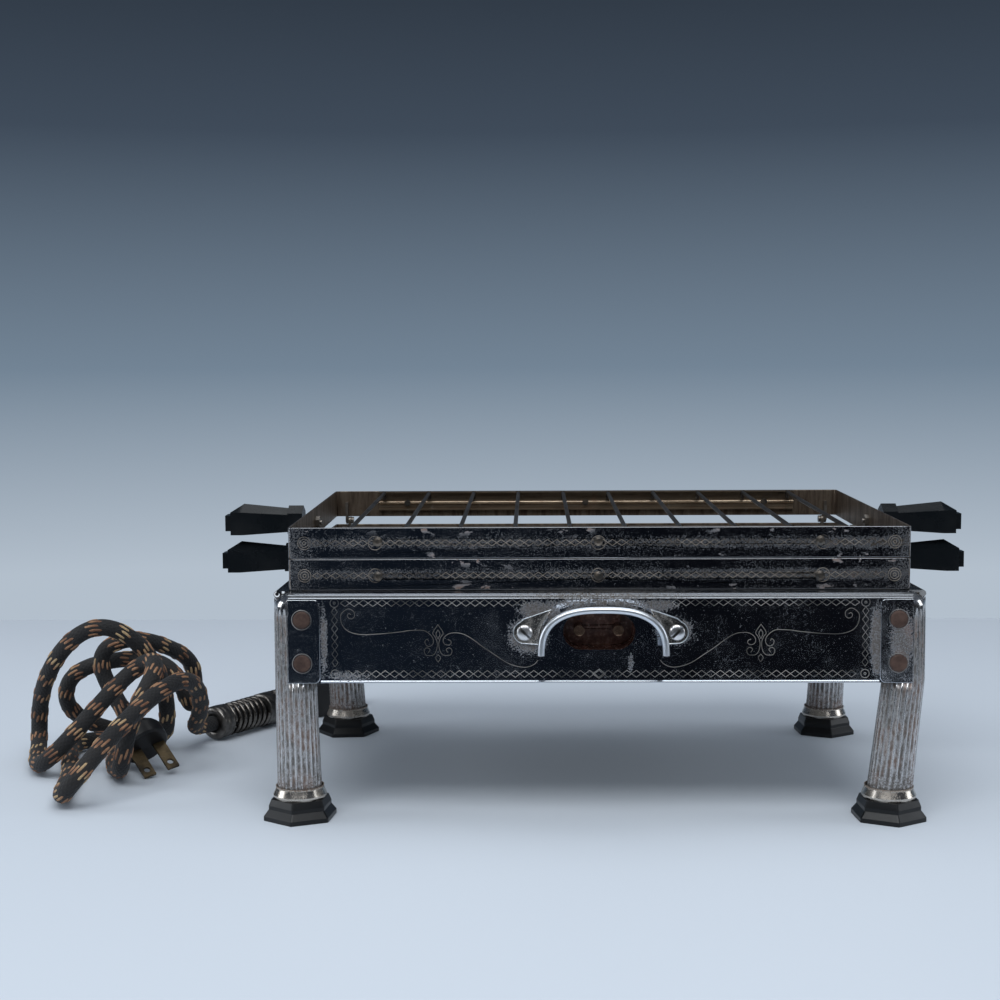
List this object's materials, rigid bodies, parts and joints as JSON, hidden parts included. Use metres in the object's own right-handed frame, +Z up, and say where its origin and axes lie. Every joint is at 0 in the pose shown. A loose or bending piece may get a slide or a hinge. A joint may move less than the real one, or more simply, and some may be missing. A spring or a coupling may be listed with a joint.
{
  "type": "electric toaster",
  "caption": "Flat electric toaster on fluted legs with hinged wire racks, black side handles, a hooded pin inlet and a loose braided cord with plug and spring guard.",
  "frame": {"origin": "middle of the toaster's box on the table, under the base of the feet, without the cord set", "axes": "+X to the right seen from the inlet side, along the longest side; +Y to the back; +Z up"},
  "size_m": [0.4797, 0.2784, 0.1362],
  "materials": {
    "plated_steel": "polished plating, worn through at edges and screws",
    "inner_sheet": "heat-dulled sheet",
    "foot_plastic": "black moulded plastic, dusty",
    "handle_plastic": "black moulded plastic with a low shine",
    "rusty_rivets": "rust-brown heads with a pale edge",
    "porcelain": "unglazed fired clay",
    "brass": "dull with a brown film",
    "heating_wire": "oxidised resistance wire",
    "lead_cover": "woven heat-proof cover",
    "cord_braid": "black cotton braid with tan flecks",
    "guard_steel": "dark spring wire",
    "plain_steel": "plain steel, slightly rusty",
    "rack_steel": "plating tarnished brown by heat",
    "rack_wire": "wire browned by heat"
  },
  "bodies": {
    "stand": {"front_panel": "plated_steel", "rear_panel": "plated_steel", "left_panel": "plated_steel", "right_panel": "plated_steel", "top_rim": "plated_steel", "bottom_plate": "inner_sheet", "front_left_leg": "plated_steel", "front_right_leg": "plated_steel", "rear_left_leg": "plated_steel", "rear_right_leg": "plated_steel", "front_left_ring": "plated_steel", "front_right_ring": "plated_steel", "rear_left_ring": "plated_steel", "rear_right_ring": "plated_steel", "front_left_foot": "foot_plastic", "front_right_foot": "foot_plastic", "rear_left_foot": "foot_plastic", "rear_right_foot": "foot_plastic", "foot_screws": "plain_steel", "leg_rivets": "rusty_rivets", "inlet_hood": "plated_steel", "hood_screws": "plated_steel", "inlet_block": "porcelain", "inlet_pins": "brass", "inlet_nuts": "brass", "reflector": "inner_sheet", "element_bars": "porcelain", "element_coil": "heating_wire", "lead_wires": "lead_cover", "cord": "cord_braid", "guard_ferrule": "guard_steel", "guard_spring": "guard_steel", "guard_band": "guard_steel", "guard_tail_spring": "guard_steel", "connector_body": "handle_plastic", "connector_screws": "brass", "plug_body": "handle_plastic", "plug_blades": "brass"},
    "lower_rack": {"lower_frame": "rack_steel", "lower_front_strip": "rack_steel", "lower_rear_strip": "rack_steel", "lower_wires": "rack_wire", "lower_rivets": "rack_steel", "lower_left_handle": "handle_plastic", "lower_right_handle": "handle_plastic", "lower_handle_rods": "plain_steel", "lower_hinge_lugs": "rack_steel", "hinge_pins": "plain_steel"},
    "upper_rack": {"upper_frame": "rack_steel", "upper_front_strip": "rack_steel", "upper_rear_strip": "rack_steel", "upper_wires": "rack_wire", "upper_rivets": "rack_steel", "upper_left_handle": "handle_plastic", "upper_right_handle": "handle_plastic", "upper_handle_rods": "plain_steel", "upper_hinge_lugs": "rack_steel"}
  },
  "joints": [
    {"name": "rack_lift", "type": "slide", "parent": "stand", "child": "lower_rack", "axis": [0, 0, 1], "range_m": [0, 0.06]},
    {"name": "rack_hinge", "type": "hinge", "parent": "lower_rack", "child": "upper_rack", "pos_m": [0, 0.08882, 0.1199], "axis": [-1, 0, 0], "range_deg": [0, 95]}
  ]
}
